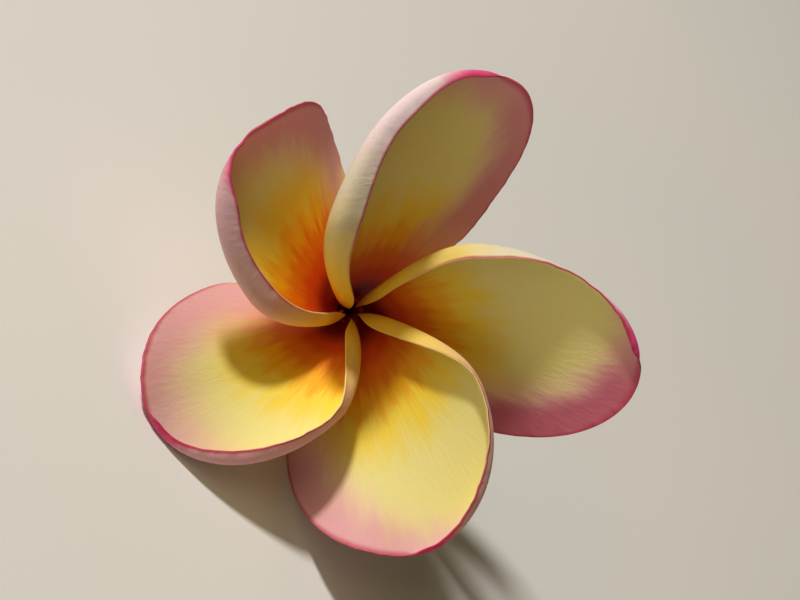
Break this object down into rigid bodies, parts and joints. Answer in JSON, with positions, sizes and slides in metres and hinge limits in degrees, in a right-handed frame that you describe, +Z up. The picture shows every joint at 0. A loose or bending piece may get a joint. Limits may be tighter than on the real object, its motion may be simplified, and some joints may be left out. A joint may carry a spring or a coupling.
{
  "type": "plumeria flower",
  "caption": "Open plumeria flower with overlapping rolled petals on a slim hollow tube, with a small calyx and a short stalk.",
  "frame": {"origin": "middle of the flower's box on the surface that it lies on", "axes": "+Z up from the surface; the open face of the flower looks up and to one side"},
  "size_m": [0.0616, 0.072, 0.0648],
  "materials": {
    "petal": "waxy fresh petal, golden at the throat, cream yellow further out, pink at the margin and tip",
    "tube": "waxy fresh petal tissue, cream with a pink tinge",
    "pistil": "pale green plant tissue",
    "calyx": "smooth maroon-brown plant skin, green where it is young"
  },
  "bodies": {
    "root": {"petal_1": "petal", "petal_2": "petal", "petal_3": "petal", "petal_4": "petal", "petal_5": "petal", "corolla_tube": "tube", "pistil": "pistil", "calyx_stalk": "calyx"}
  },
  "joints": []
}
